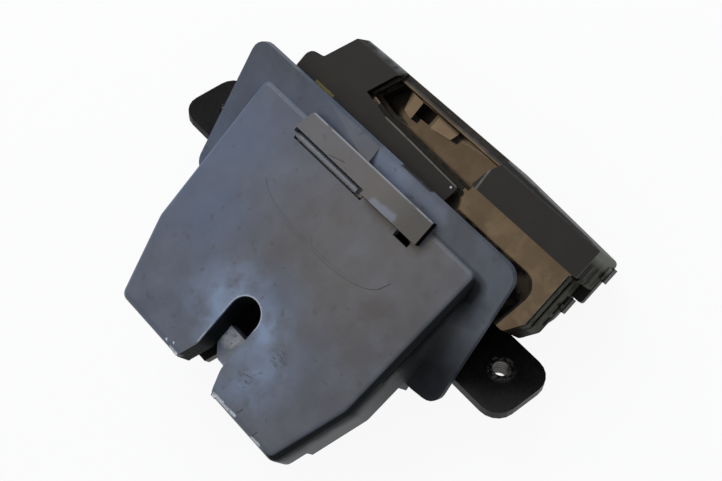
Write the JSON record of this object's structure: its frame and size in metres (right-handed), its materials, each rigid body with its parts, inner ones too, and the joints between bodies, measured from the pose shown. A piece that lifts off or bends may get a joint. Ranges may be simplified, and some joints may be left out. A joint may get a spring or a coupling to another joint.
{
  "type": "boot lid lock",
  "caption": "Boot lid lock with a closed moulded front cover, fishmouth slot with a rotary claw, two inclined threaded ears and a motor-driven release housing behind a sealing collar.",
  "frame": {"origin": "on the flat back of the rear cover, midway between the two ear holes and level with them", "axes": "+X from ear to ear towards the motor's end, +Y from the fishmouth slot to the housing, +Z out of the front cover's face"},
  "size_m": [0.1482, 0.109, 0.035],
  "materials": {
    "front_cover": "satin moulded polyamide",
    "release_slider": "satin moulded plastic",
    "frame_plate": "black e-coated sheet steel",
    "claw": "plated steel, scuffed by the striker",
    "claw_band": "moulded damping band",
    "claw_pin": "turned and riveted steel",
    "claw_spring": "spring wire",
    "pawl": "plated steel",
    "pawl_pin": "turned steel",
    "pawl_spring": "spring wire",
    "drive_dowel": "ground steel",
    "release_lever": "stamped steel",
    "buffer": "moulded rubber",
    "case": "glossy black moulding with matte raised blocks",
    "rear_cover": "satin black moulding",
    "motor": "drawn steel can",
    "motor_cap": "moulded end cap",
    "motor_shaft": "ground steel",
    "worm": "natural acetal",
    "worm_wheel": "natural acetal",
    "wheel_axle": "ground steel",
    "microswitch": "moulded switch body",
    "switch_plunger": "moulded plunger",
    "terminals": "tinned brass blades",
    "screws": "zinc-plated steel"
  },
  "bodies": {
    "lock_body": {"front_cover": "front_cover", "frame_plate": "frame_plate", "claw_pin": "claw_pin", "claw_spring": "claw_spring", "pawl_pin": "pawl_pin", "pawl_spring": "pawl_spring", "buffer": "buffer", "case": "case", "rear_cover": "rear_cover", "motor": "motor", "motor_cap": "motor_cap", "wheel_axle": "wheel_axle", "microswitch": "microswitch", "terminals": "terminals", "screws": "screws"},
    "claw": {"claw": "claw", "claw_band": "claw_band"},
    "pawl": {"pawl": "pawl", "drive_dowel": "drive_dowel", "release_lever": "release_lever"},
    "slider": {"release_slider": "release_slider"},
    "wheel": {"worm_wheel": "worm_wheel"},
    "rotor": {"motor_shaft": "motor_shaft", "worm": "worm"},
    "plunger": {"switch_plunger": "switch_plunger"}
  },
  "joints": [
    {"name": "claw_turn", "type": "hinge", "parent": "lock_body", "child": "claw", "pos_m": [0.015, -0.034, 0.0196], "axis": [0, 0, 1], "range_deg": [0, 50]},
    {"name": "pawl_swing", "type": "hinge", "parent": "lock_body", "child": "pawl", "pos_m": [-0.016, -0.006, 0.0193], "axis": [0, 0, 1], "range_deg": [-8, 0]},
    {"name": "release_slide", "type": "slide", "parent": "lock_body", "child": "slider", "axis": [1, 0, 0], "range_m": [0, 0.0024]},
    {"name": "wheel_turn", "type": "hinge", "parent": "lock_body", "child": "wheel", "pos_m": [0.004, 0.0222, 0.0125], "axis": [0, 0, 1], "continuous": true},
    {"name": "shaft_turn", "type": "hinge", "parent": "lock_body", "child": "rotor", "pos_m": [0.004, 0.034, 0.0125], "axis": [1, 0, 0], "continuous": true},
    {"name": "plunger_slide", "type": "slide", "parent": "lock_body", "child": "plunger", "axis": [0, -1, 0], "range_m": [0, 0.0008], "stiffness_N_per_m": 300}
  ],
  "couplings": [
    {"joint": "release_slide", "follows": "pawl_swing", "m_per_rad": -0.017},
    {"joint": "shaft_turn", "follows": "wheel_turn", "ratio": 20}
  ]
}
